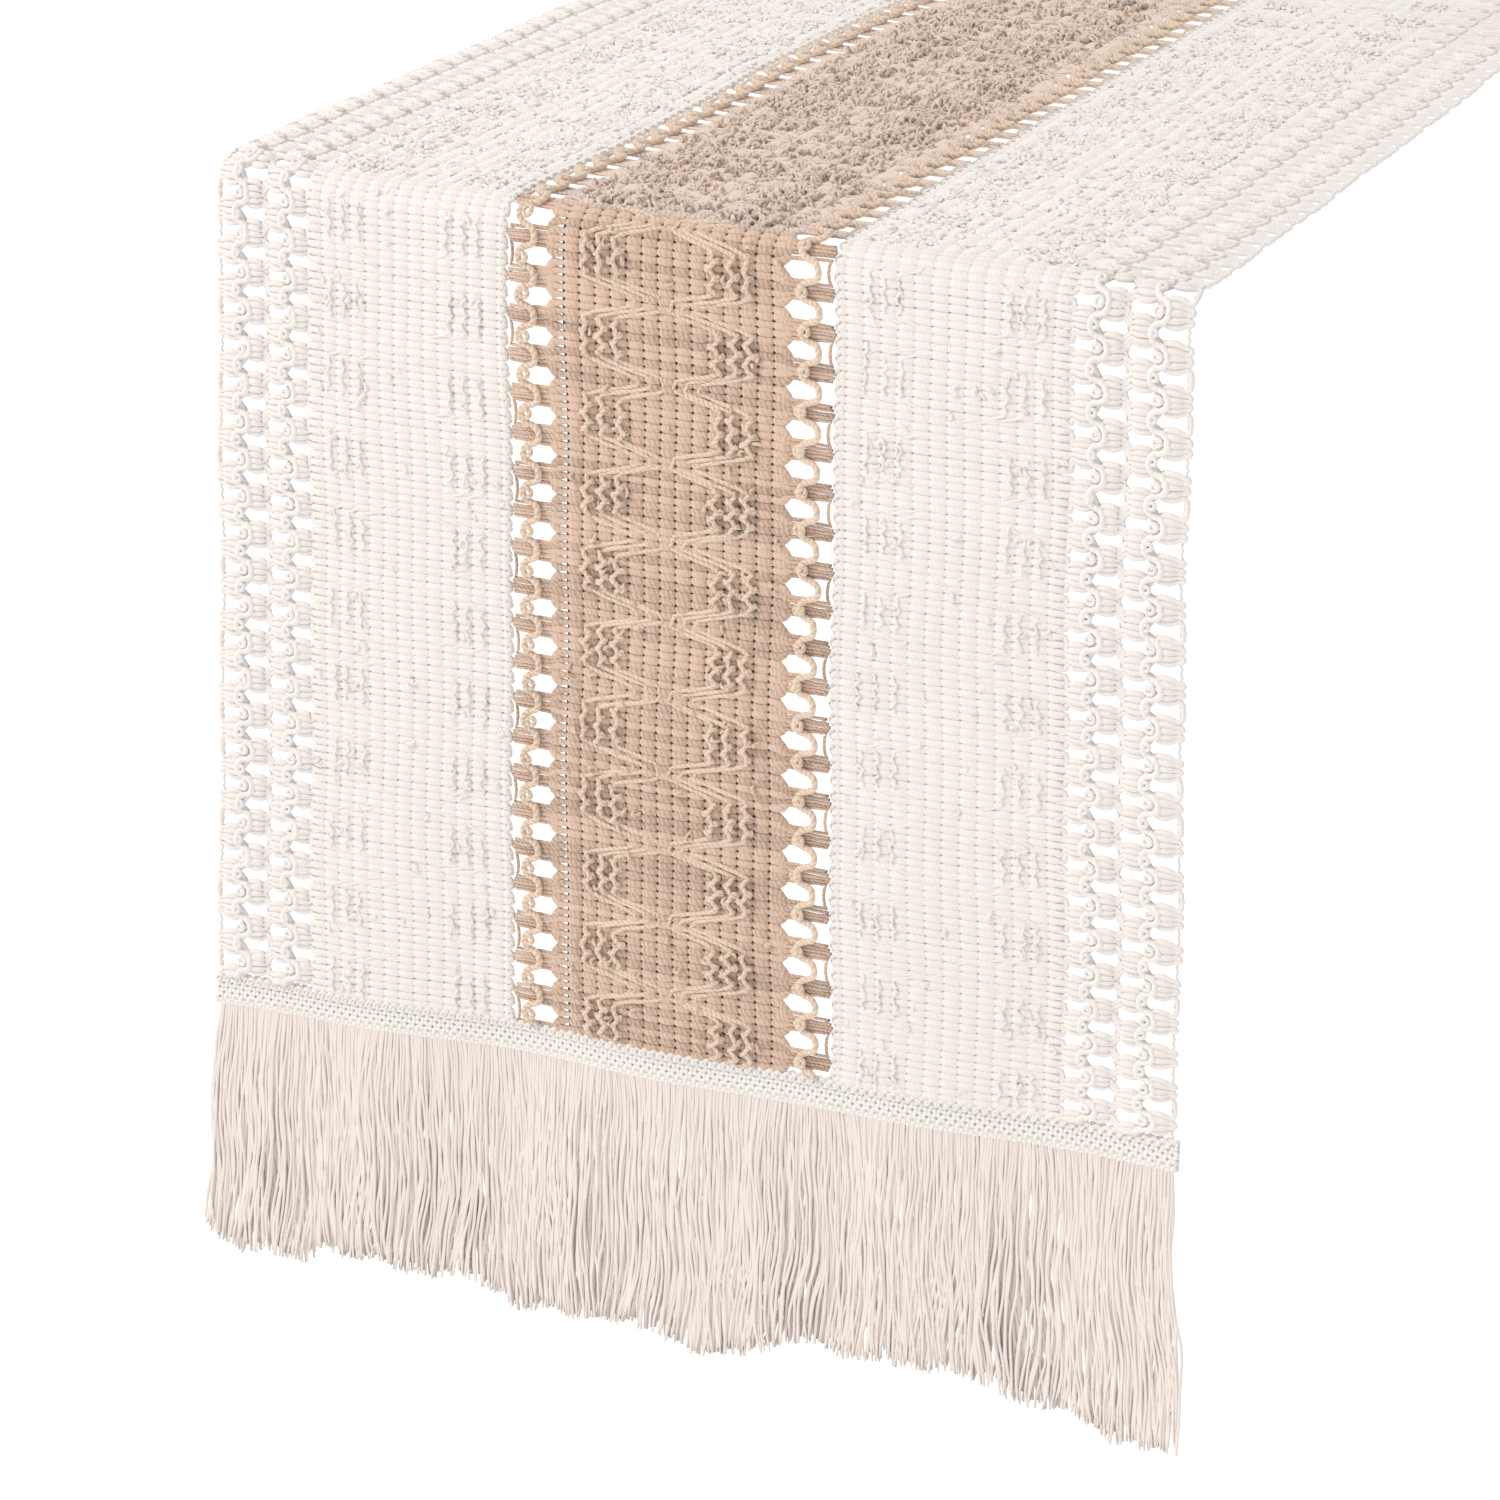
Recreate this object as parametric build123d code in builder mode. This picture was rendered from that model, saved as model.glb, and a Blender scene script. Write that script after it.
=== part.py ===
"""Table runner of three crocheted ribbons with fringed ends, draped over a table.

The origin is the middle of the runner's underside, where it lies on the table top.
+X runs across the runner, +Y along it and +Z up; both ends hang down past a table edge.
"""

import os

from build123d import *

# Ribbons, across the runner
CREAM_WIDTH = 101.0
TAN_WIDTH = 103.0
SEAM_GAP = 0.4
CLOTH = 2.0

# Drape, along the runner
FIELD_HALF = 785.6
BEND_INNER = 7.0
BEND_OUTER = BEND_INNER + CLOTH
HINGE_GAP = 1.5
DROP_BOTTOM = 256.0

# Ladder openwork on the outer edge of each cream ribbon
LADDER_PITCH = 12.6
LADDER_HOLE = (6.4, 4.2)
LADDER_COLUMNS = (5.2, 13.4, 21.8, 29.4)

# Openwork column beside each edge of the tan ribbon
TAN_HOLE = (4.4, 5.2)
TAN_COLUMN = 13.2

# Raised cords that snake along the openwork
CORD_WIDTH = 2.4
CORD_HEIGHT = 1.5
CORD_SWING = 1.6
CREAM_CORDS = (8.9, 25.6)
TAN_CORD = 7.0

# Whip stitches that join the ribbons
STITCH_WIDTH = 0.9
STITCH_HEIGHT = 0.7
STITCH_SWING = 1.3
STITCH_PITCH = 5.0

# Braided header across each end
HEADER_HEIGHT = 9.0
HEADER_THICKNESS = 2.6
HEADER_OVERHANG = 1.5
HEADER_ROWS = 3
HEADER_HOLE = (1.6, 0.9)
HEADER_HOLE_PITCH = 5.0
HEADER_ROW_PITCH = 2.5

# Cut fringe below each header
FRINGE_GAP = 0.8
FRINGE_LENGTH = 86.0
FRINGE_HEADING = 2.0
FRINGE_THICKNESS = 1.4
STRAND_WIDTH = 1.4
STRAND_PITCH = 2.2
TIP_STEPS = (0.0, 2.5, 1.0, 4.0, 0.5, 3.0, 1.8)

# Derived positions
TAN_HALF = TAN_WIDTH / 2
WIDTH_HALF = TAN_HALF + CREAM_WIDTH
BEND_CENTRE_Z = -BEND_INNER
DROP_TOP = BEND_INNER + HINGE_GAP
DROP_INNER_Y = FIELD_HALF + BEND_INNER
HEADER_BOTTOM = DROP_BOTTOM + HEADER_HEIGHT
FRINGE_TOP = HEADER_BOTTOM + FRINGE_GAP

# Each flat zone: its plane, and the stretch of local Y that it fills.
# Both drops are drawn on the plane of their inner face and thicken outwards.
FRONT_PLANE = Plane(origin=(0, -DROP_INNER_Y, 0), x_dir=(1, 0, 0), z_dir=(0, -1, 0))
BACK_PLANE = Plane(origin=(0, DROP_INNER_Y, 0), x_dir=(1, 0, 0), z_dir=(0, 1, 0))
ZONES = {
    "field": (Plane.XY, -FIELD_HALF, FIELD_HALF),
    "front_drop": (FRONT_PLANE, -DROP_BOTTOM, -DROP_TOP),
    "back_drop": (BACK_PLANE, DROP_TOP, DROP_BOTTOM),
}

# Each end: its plane, the way down along local Y, and the outward way along world Y.
ENDS = {
    "front": (FRONT_PLANE, -1, -1),
    "back": (BACK_PLANE, 1, 1),
}

# Each ribbon: its two edges across the runner.
RIBBONS = {
    "left_cream_ribbon": (-WIDTH_HALF, -TAN_HALF - SEAM_GAP / 2),
    "centre_tan_ribbon": (-TAN_HALF + SEAM_GAP / 2, TAN_HALF - SEAM_GAP / 2),
    "right_cream_ribbon": (TAN_HALF + SEAM_GAP / 2, WIDTH_HALF),
}

# Each raised cord: its place across the runner.
CORDS = {
    "left_outer_cord": -WIDTH_HALF + CREAM_CORDS[0],
    "left_inner_cord": -WIDTH_HALF + CREAM_CORDS[1],
    "tan_left_cord": -TAN_HALF + TAN_CORD,
    "tan_right_cord": TAN_HALF - TAN_CORD,
    "right_inner_cord": WIDTH_HALF - CREAM_CORDS[1],
    "right_outer_cord": WIDTH_HALF - CREAM_CORDS[0],
}

SEAMS = {"left_seam_thread": -TAN_HALF, "right_seam_thread": TAN_HALF}


def save(piece, name):
    """Label a finished piece and write it as one STEP file."""
    piece.label = name
    export_step(piece, f"parts/{name}.step")


def openwork(ribbon):
    """Columns of openings in a ribbon: (place across, hole size, half-pitch offset)."""
    if ribbon == "centre_tan_ribbon":
        return [(side * (TAN_HALF - TAN_COLUMN), TAN_HOLE, 0) for side in (-1, 1)]
    side = -1 if ribbon == "left_cream_ribbon" else 1
    return [
        (side * (WIDTH_HALF - inset), LADDER_HOLE, number % 2)
        for number, inset in enumerate(LADDER_COLUMNS)
    ]


def hole_places(across, start, end, offset):
    """Hole centres down one column, clear of both ends of the zone."""
    count = int((end - start - LADDER_PITCH) // LADDER_PITCH)
    first = (start + end - (count - 1) * LADDER_PITCH) / 2
    shift = (offset - 0.5) * LADDER_PITCH / 2
    return [(across, first + shift + number * LADDER_PITCH) for number in range(count)]


def ribbon_panel(ribbon, zone):
    """One flat stretch of a ribbon, pierced by its openwork."""
    plane, start, end = ZONES[zone]
    left, right = RIBBONS[ribbon]
    with BuildPart() as panel:
        with BuildSketch(plane):
            with Locations(((left + right) / 2, (start + end) / 2)):
                Rectangle(right - left, end - start)
            for across, hole, offset in openwork(ribbon):
                with Locations(*hole_places(across, start, end, offset)):
                    Rectangle(*hole, mode=Mode.SUBTRACT)
        extrude(amount=CLOTH)
    return panel.part


def ribbon_fold(ribbon, outward):
    """The quarter-round bend of a ribbon over the table edge."""
    left, right = RIBBONS[ribbon]
    side_plane = Plane(origin=(left, 0, 0), x_dir=(0, outward, 0), z_dir=(outward, 0, 0))
    amount = outward * (right - left)
    middle = (FIELD_HALF, BEND_CENTRE_Z)
    with BuildPart() as fold:
        with BuildSketch(side_plane):
            with BuildLine():
                outer = CenterArc(middle, BEND_OUTER, 0, 90)
                inner = CenterArc(middle, BEND_INNER, 0, 90)
                Line(outer @ 0, inner @ 0)
                Line(outer @ 1, inner @ 1)
            make_face()
        extrude(amount=amount)
    return fold.part


def zigzag_outline(spine, shift):
    """The closed outline of a thread laid along a spine, widened by a shift both ways."""
    shift_x, shift_y = shift
    one_side = [(x - shift_x, y - shift_y) for x, y in spine]
    other_side = [(x + shift_x, y + shift_y) for x, y in reversed(spine)]
    return one_side + other_side


def raised_thread(plane, outline, height):
    """A flat-topped thread of a given outline, standing on a plane."""
    with BuildPart() as thread:
        with BuildSketch(plane):
            with BuildLine():
                Polyline(*outline, close=True)
            make_face()
        extrude(amount=height)
    return thread.part


def snake(plane, across, start, end, swing, width, height):
    """A cord that swings from side to side along a zone, raised above the cloth."""
    step = LADDER_PITCH / 2
    steps = int((end - start) // step)
    first = (start + end - steps * step) / 2
    spine = [(across + swing * (-1) ** n, first + n * step) for n in range(steps + 1)]
    return raised_thread(plane.offset(CLOTH), zigzag_outline(spine, (width / 2, 0)), height)


def header_tape(plane, down):
    """The braided tape across an end, with its rows of small loops left open."""
    with BuildPart() as tape:
        with BuildSketch(plane):
            with Locations((0, down * (DROP_BOTTOM + HEADER_HEIGHT / 2))):
                Rectangle(2 * (WIDTH_HALF + HEADER_OVERHANG), HEADER_HEIGHT)
                columns = int(2 * WIDTH_HALF // HEADER_HOLE_PITCH)
                with GridLocations(HEADER_HOLE_PITCH, HEADER_ROW_PITCH, columns, HEADER_ROWS):
                    Rectangle(*HEADER_HOLE, mode=Mode.SUBTRACT)
        extrude(amount=HEADER_THICKNESS)
    return tape.part


def header_stitching(plane, down):
    """The thread that sews the header tape on, zigzagging on its outer face."""
    swing = STITCH_SWING / 2
    across = down * (DROP_BOTTOM + STITCH_SWING)
    steps = int(2 * WIDTH_HALF // STITCH_PITCH)
    first = -steps * STITCH_PITCH / 2
    spine = [(first + n * STITCH_PITCH, across + swing * (-1) ** n) for n in range(steps + 1)]
    outline = zigzag_outline(spine, (0, STITCH_WIDTH / 2))
    return raised_thread(plane.offset(HEADER_THICKNESS), outline, STITCH_HEIGHT)


def fringe(plane, down):
    """A comb of cut strands hanging from a narrow heading, with uneven tips."""
    count = int(2 * WIDTH_HALF // STRAND_PITCH)
    first = -(count - 1) * STRAND_PITCH / 2
    crotch = down * (FRINGE_TOP + FRINGE_HEADING)
    outline = []
    for number in range(count):
        centre = first + number * STRAND_PITCH
        tip = down * (FRINGE_TOP + FRINGE_LENGTH - TIP_STEPS[number % len(TIP_STEPS)])
        left, right = centre - STRAND_WIDTH / 2, centre + STRAND_WIDTH / 2
        outline += [(left, crotch), (left, tip), (right, tip), (right, crotch)]
    top = down * FRINGE_TOP
    outline += [(-first + STRAND_WIDTH / 2, top), (first - STRAND_WIDTH / 2, top)]
    seat = (CLOTH - FRINGE_THICKNESS) / 2
    return raised_thread(plane.offset(seat), outline, FRINGE_THICKNESS)


os.makedirs("parts", exist_ok=True)

# Flat stretches of the ribbons, their cords and the threads that join them
for zone, (plane, start, end) in ZONES.items():
    for ribbon in RIBBONS:
        save(ribbon_panel(ribbon, zone), f"{zone}_{ribbon}")
    for cord, across in CORDS.items():
        shape = snake(plane, across, start, end, CORD_SWING, CORD_WIDTH, CORD_HEIGHT)
        save(shape, f"{zone}_{cord}")
    for seam, across in SEAMS.items():
        shape = snake(plane, across, start, end, STITCH_SWING, STITCH_WIDTH, STITCH_HEIGHT)
        save(shape, f"{zone}_{seam}")

# Bends over the table edges, and the finished ends
for side, (plane, down, outward) in ENDS.items():
    for ribbon in RIBBONS:
        save(ribbon_fold(ribbon, outward), f"{side}_fold_{ribbon}")
    save(header_tape(plane, down), f"{side}_header_tape")
    save(header_stitching(plane, down), f"{side}_header_stitching")
    save(fringe(plane, down), f"{side}_fringe")
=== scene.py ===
"""Looks of the table runner: every yarn is a tube laid along the draped cloth.

Lengths are in millimetres until a mesh is made. A place in the cloth is (u, v, w): u across
the runner, v along it in weave millimetres, w above the middle of the cloth. The weave repeats
every REPEAT in v. The front end, which hangs down at -Y, has v above FOLD.
"""

import math

import bpy
import numpy as np
from mathutils import Matrix, Vector


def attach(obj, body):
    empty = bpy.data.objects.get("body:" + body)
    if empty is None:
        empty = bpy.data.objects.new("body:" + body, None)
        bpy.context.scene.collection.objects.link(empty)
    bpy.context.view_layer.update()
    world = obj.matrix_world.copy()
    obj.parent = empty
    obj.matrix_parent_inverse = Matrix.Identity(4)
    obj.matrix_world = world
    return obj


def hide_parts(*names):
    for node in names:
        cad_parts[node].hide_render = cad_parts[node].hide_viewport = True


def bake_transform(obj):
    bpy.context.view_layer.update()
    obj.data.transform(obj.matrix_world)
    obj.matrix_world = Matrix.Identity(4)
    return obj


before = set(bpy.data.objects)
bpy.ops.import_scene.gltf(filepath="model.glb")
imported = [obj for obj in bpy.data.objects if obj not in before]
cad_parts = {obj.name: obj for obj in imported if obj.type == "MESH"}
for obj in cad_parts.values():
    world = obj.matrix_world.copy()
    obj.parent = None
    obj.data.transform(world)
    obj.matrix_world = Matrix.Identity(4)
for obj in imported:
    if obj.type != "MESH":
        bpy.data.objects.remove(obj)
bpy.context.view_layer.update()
rng = np.random.default_rng(7)

# ---------------------------------------------------------------- sizes
REPEAT = 24.0
WEFT_PITCH = 2.4
FIELD_REPEATS = 62
DROP_REPEATS = 11
NEAR_REPEATS = 12
FOLD = REPEAT * FIELD_REPEATS / 2
HEM = REPEAT * DROP_REPEATS
FIELD_HALF = 785.6
FIELD_STRETCH = FIELD_HALF / FOLD
DROP_STRETCH = 0.9908
MID_RADIUS = 8.0
MID_HEIGHT = 1.35
QUARTER_TURN = MID_RADIUS * math.pi / 2
DROP_DEPTH = 258.0
HEADER = 9.0
WIDTH_HALF = 152.5
TAN_HALF = 51.5
CREAM_INNER = 51.9
CREAM_WIDTH = WIDTH_HALF - CREAM_INNER
LADDER_EDGE = 33.0
FAN = 0.027
SIDE_SHIFT = 4.0
LEFT_SWING = 4.0
RIGHT_SWING = 1.0
HEM_RISE = 0.3
HEM_TILT = 0.0185
LEFT_TUCK = 0.9
RIGHT_FLARE = 2.2
RIGHT_LIFT = 1.4
EDGE_LIFT = 2.0
BOW = 6.0


def smooth(x):
    """A soft step from 0 at x = 0 to 1 at x = 1."""
    x = np.clip(x, 0.0, 1.0)
    return x * x * (3 - 2 * x)


# ---------------------------------------------------------------- drape
def drop_length(past):
    """Real length below the fold line of a place that lies past weave millimetres beyond it."""
    woven = np.minimum(past, HEM)
    return DROP_STRETCH * woven + (past - woven)


def middle(u, v):
    """The middle of the cloth, in millimetres in the row frame."""
    end = np.where(v >= 0, 1.0, -1.0)
    past = np.maximum(np.abs(v) - FOLD, 0.0)
    length = drop_length(past)
    turn = np.minimum(length / MID_RADIUS, math.pi / 2)
    hang = np.maximum(length - QUARTER_TURN, 0.0)
    down = MID_RADIUS * (1 - np.cos(turn)) + hang
    share = down / DROP_DEPTH
    out = MID_RADIUS * np.sin(turn)
    # the hanging end swings out at its corners and ripples a little
    left = smooth((-40.0 - u) / 112.0)
    right = smooth((u - 90.0) / 62.0)
    out = out + LEFT_SWING * left * share**1.6 + RIGHT_SWING * right * share**2
    out = out + share * (1.2 * np.sin(u / 27.0 + 0.8) + 0.9 * np.sin(u / 13.5 + 2.1))
    flat = np.minimum(np.abs(v), FOLD) * FIELD_STRETCH
    near = smooth(1 - (FOLD - np.minimum(np.abs(v), FOLD)) / 260.0)
    z = MID_HEIGHT - down + share * (HEM_RISE + HEM_TILT * u + RIGHT_LIFT * right)
    # the left edge lifts off the table near the fold, and the top has low swells
    z = z + EDGE_LIFT * smooth((-96.0 - u) / 50.0) * near * (1 - 0.5 * np.minimum(share * 8, 1))
    z = z + 0.35 * np.sin(u / 21.0 + v / 34.0) * (1 - np.minimum(share * 6, 1))
    x = u - BOW * (1 - (u / WIDTH_HALF) ** 2)
    x = x * (1 + FAN * share) + SIDE_SHIFT * share
    x = x + LEFT_TUCK * smooth((-100.0 - u) / 52.0) * (1 - 1.7 * np.minimum(share * 1.6, 1))
    before_fold = np.clip((FOLD - np.abs(v)) / 160.0, 0, 1)
    x = x + RIGHT_FLARE * smooth((u - 60.0) / 90.0) * np.sin(math.pi * before_fold)
    x = x + 0.5 * np.sin(v / 31.0 + u / 60.0) + 0.35 * np.sin(v / 11.3 + u / 23.0)
    y = -end * (flat + out)
    y = y + 0.4 * np.sin(u / 17.0 + v / 40.0) * (1 - np.minimum(share * 10, 1))
    return np.stack([x, y, z], axis=-1)


def lay(u, v, w):
    """Places (u, v, w) in the row frame, and the cloth's normals there."""
    u, v, w = np.broadcast_arrays(u, v, w)
    step = 0.6
    across = middle(u + step, v) - middle(u - step, v)
    along = middle(u, v + step) - middle(u, v - step)
    normal = np.cross(along, across)
    normal /= np.linalg.norm(normal, axis=-1, keepdims=True)
    return middle(u, v) + w[..., None] * normal, normal


# ---------------------------------------------------------------- yarn meshes
class Yarns:
    """Tubes gathered into one mesh."""

    def __init__(self):
        self.points, self.quads, self.ends, self.uv, self.tone = [], [], [], [], []
        self.count = 0

    def add(self, path, normal, ra, rb, sides, tone=0.5, closed=False):
        """Tubes along path (m, n, 3): ra is the half width in the cloth, rb the half thickness.

        tone is one value, one for each tube, or one for each place along the tubes.
        """
        if path.ndim == 2:
            path, normal = path[None], normal[None]
        m, n, _ = path.shape
        ra = np.broadcast_to(ra, (m, n))
        rb = np.broadcast_to(rb, (m, n))
        if closed:
            tangent = np.roll(path, -1, 1) - np.roll(path, 1, 1)
        else:
            tangent = np.empty_like(path)
            tangent[:, 1:-1] = path[:, 2:] - path[:, :-2]
            tangent[:, 0] = path[:, 1] - path[:, 0]
            tangent[:, -1] = path[:, -1] - path[:, -2]
        tangent /= np.maximum(np.linalg.norm(tangent, axis=-1, keepdims=True), 1e-9)
        side = np.cross(tangent, normal)
        side /= np.maximum(np.linalg.norm(side, axis=-1, keepdims=True), 1e-9)
        up = np.cross(side, tangent)
        angle = np.arange(sides) * 2 * math.pi / sides
        ring = (
            path[:, :, None]
            + (ra[..., None] * np.cos(angle))[..., None] * side[:, :, None]
            + (rb[..., None] * np.sin(angle))[..., None] * up[:, :, None]
        )
        self.points.append(ring.reshape(-1, 3))
        base = self.count + np.arange(m)[:, None, None] * n * sides
        rows = n if closed else n - 1
        i = np.arange(rows)[None, :, None]
        j = np.arange(sides)[None, None, :]
        i2, j2 = (i + 1) % n, (j + 1) % sides
        quads = np.stack([base + i * sides + j, base + i2 * sides + j,
                          base + i2 * sides + j2, base + i * sides + j2], axis=-1)
        self.quads.append(quads.reshape(-1, 4))
        run = np.linalg.norm(np.diff(path, axis=1), axis=-1)
        run = np.concatenate([np.zeros((m, 1)), np.cumsum(run, axis=1)], axis=1)
        if closed:
            run = np.concatenate([run, run[:, -1:] + 1.0], axis=1)
        a = np.broadcast_to(run[:, :rows, None], (m, rows, sides))
        b = np.broadcast_to(run[:, 1 : rows + 1, None], (m, rows, sides))
        c = np.broadcast_to(j / sides, (m, rows, sides))
        d = c + 1 / sides
        corners = [np.stack([a, c], -1), np.stack([b, c], -1), np.stack([b, d], -1), np.stack([a, d], -1)]
        self.uv.append(np.stack(corners, axis=3).reshape(-1, 2))
        tone = np.asarray(tone, float)
        if tone.size in (1, m):
            tone = np.repeat(np.broadcast_to(tone.reshape(-1), (m,)), n)
        self.tone.append(np.repeat(tone.reshape(-1), sides))
        if not closed:
            first = base[:, 0, 0][:, None] + np.arange(sides)[None, ::-1]
            last = base[:, 0, 0][:, None] + (n - 1) * sides + np.arange(sides)[None]
            self.ends.append((np.concatenate([first, last]), sides))
        self.count += m * n * sides

    def build(self, name, material):
        """One object in metres with a UV map along the yarn and a tone for each yarn."""
        points = np.concatenate(self.points) * 0.001
        quads = np.concatenate(self.quads)
        loops = [quads.reshape(-1)]
        totals = [np.full(len(quads), 4)]
        uv = [np.concatenate(self.uv)]
        for cap, sides in self.ends:
            loops.append(cap.reshape(-1))
            totals.append(np.full(len(cap), sides))
            uv.append(np.zeros((cap.size, 2)))
        loops, totals, uv = np.concatenate(loops), np.concatenate(totals), np.concatenate(uv)
        mesh = bpy.data.meshes.new(name)
        mesh.vertices.add(len(points))
        mesh.vertices.foreach_set("co", points.astype(np.float32).ravel())
        mesh.loops.add(len(loops))
        mesh.loops.foreach_set("vertex_index", loops.astype(np.int32))
        mesh.polygons.add(len(totals))
        starts = np.concatenate([[0], np.cumsum(totals)[:-1]])
        mesh.polygons.foreach_set("loop_start", starts.astype(np.int32))
        mesh.polygons.foreach_set("loop_total", totals.astype(np.int32))
        mesh.polygons.foreach_set("use_smooth", np.ones(len(totals), bool))
        layer = mesh.uv_layers.new(name="yarn")
        layer.data.foreach_set("uv", (uv * [0.001, 1.0]).astype(np.float32).ravel())
        tone = mesh.attributes.new("tone", "FLOAT", "POINT")
        tone.data.foreach_set("value", np.concatenate(self.tone).astype(np.float32))
        mesh.update(calc_edges=True)
        mesh.validate()
        mesh.materials.append(material)
        obj = bpy.data.objects.new(name, mesh)
        bpy.context.scene.collection.objects.link(obj)
        return obj


def tapered(n, tip=0.5):
    """Radius factors that round off both ends of a tube."""
    factor = np.ones(n)
    factor[0] = factor[-1] = tip
    return factor


# ---------------------------------------------------------------- weave
class Detail:
    """How finely a stretch is made: tube sides, samples, roughness, curls and the cream ground's rise."""

    def __init__(self, sides, wale, column, relief, cord, rough, curls, cream_rise):
        self.sides, self.wale, self.column = sides, wale, column
        self.relief, self.cord, self.rough, self.curls = relief, cord, rough, curls
        self.cream_rise = cream_rise


FINE = Detail(8, (0, 0.35, 0.9, 2.5, 4.1, 4.65), (-3.0, -2.2, -0.9, 0.9, 2.2, 3.0),
              40, 30, 0.15, 0.006, 0.26)
NEAR = Detail(7, (0, 0.45, 1.5, 2.5, 3.5, 4.55), (-3.0, -1.6, 1.6, 3.0), 34, 24, 0.27, 0.095, 0.46)
MEDIUM = Detail(6, (0, 0.6, 2.5, 4.4), (-3.0, -1.6, 1.6, 3.0), 28, 22, 0.15, 0.01, 0.26)
PLAIN = Detail(5, (0, 1.0, 4.0), (-3.0, 0.0, 3.0), 22, 18, 0.30, 0.03, 0.44)

NEAR_END = FOLD - REPEAT * NEAR_REPEATS
MID_END = -REPEAT * 6
ZONES = {
    "front_end": (FOLD, FOLD + HEM, FINE),
    "near_field": (NEAR_END, FOLD, NEAR),
    "mid_field": (MID_END, NEAR_END, PLAIN),
    "back_field": (-FOLD, MID_END, PLAIN),
    "back_end": (-FOLD - HEM, -FOLD, MEDIUM),
}
WALE_PITCH = 5.0
WALES_CREAM = LADDER_EDGE + WALE_PITCH * np.arange(14)
WALES_TAN = -32.5 + WALE_PITCH * np.arange(14)
COLUMNS = (5.2, 13.5, 21.9, 29.5)
APEX = REPEAT * 0.19
TAN_PITCH = 12.0
TAN_HOLES = {-1: FOLD + 7.6, 1: FOLD + 0.4}
# the dense ground of a cream ribbon: its middle, and how far its curls spread each way
CREAM_GROUND = 86.3
CREAM_CURL_HALF = 32.0
TAN_CURL_HALF = 35.0
# how far in from the outer edge the cords of a cream ribbon snake
OUTER_CORD = 8.9
INNER_CORD = 25.7
# cream chains run down the outer edge and the middle of the ladder
CHAINS = np.array([1.0, 17.7])
WALE_THREAD_WIDTH, WALE_THREAD_THICKNESS = 0.75, 0.28


def ladder_rows(side, half_step, v0, v1):
    """Where the holes of one ladder column lie along v, from before v0 to past v1."""
    k = np.arange(-190, 40) + (0.5 if half_step else 0.0)
    if side < 0:
        rows = FOLD + 2.3 + 11.63 * k
    else:
        rows = FOLD + 10.1 + np.where(k > 0, 13.05 * k - 0.0575 * k**2, 12.4 * k)
    return rows[(rows > v0 - 40) & (rows < v1 + 40)]


def column_rows(side, column, v0, v1):
    """The holes of one ladder column; the odd and even columns are staggered by half a step."""
    odd = column in (1, 3)
    return ladder_rows(side, odd if side < 0 else not odd, v0, v1)


def tan_rows(side, v0, v1):
    """Where the holes of the open column on one side of the tan ribbon lie along v."""
    k = np.arange(math.floor((v0 - 40 - TAN_HOLES[side]) / TAN_PITCH),
                  math.ceil((v1 + 40 - TAN_HOLES[side]) / TAN_PITCH))
    return TAN_HOLES[side] + TAN_PITCH * k


def bunched(v0, v1, rows):
    """For each weft: its bundle's centre and height, its place in the bundle, and how many share it."""
    first, last = int(round(v0 / WEFT_PITCH)), int(round(v1 / WEFT_PITCH))
    j = np.arange(first - 12, last + 12)
    which = np.searchsorted(rows, WEFT_PITCH * (j + 0.5))
    starts = np.searchsorted(which, which)
    counts = np.searchsorted(which, which, side="right") - starts
    i = np.arange(len(j)) - starts - (counts - 1) / 2
    which = np.clip(which, 1, len(rows) - 1)
    keep = slice(12, 12 + last - first)
    centre = (rows[which] + rows[which - 1]) / 2
    pitch = rows[which] - rows[which - 1]
    return centre[keep, None], pitch[keep, None], i[keep, None], counts[keep, None]


def wale_samples(first, last, wales, offsets):
    """Places across the ribbon where a weft is sampled, close together at each wale."""
    marks = [w + o for w in wales for o in offsets if first <= w + o <= last]
    return np.array(sorted(marks))


def ground_profile(place, wales, shape, detail, half_width, pinching, rise):
    """Height and width of the wefts in the dense ground, pinched in at each wale."""
    d = np.min(np.abs(place[..., None] - wales), axis=-1)
    pinch = np.exp(-((d / 0.42) ** 2))
    ridge = 1 - np.exp(-((d / 1.1) ** 2))
    cell = np.floor((place - wales.min()) / WALE_PITCH).astype(int) + 2
    lumps = rng.normal(0, 1, (shape[0], cell.max() + 3))
    lump = np.take_along_axis(lumps, np.broadcast_to(cell, shape), axis=1)
    rough = detail.rough * rise / 0.62
    w = 0.2 - rise + rise * ridge + rough * ridge * (0.8 * lump + 0.6 * rng.normal(0, 1, shape))
    ra = half_width * (1 - pinching * pinch) + 0 * w
    rb = 0.78 * (1 - 0.6 * pinching * pinch) + 0 * w
    slip = ridge * rough * 0.5 * np.roll(lump, 1, axis=0)
    return w, ra, rb, slip


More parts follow.
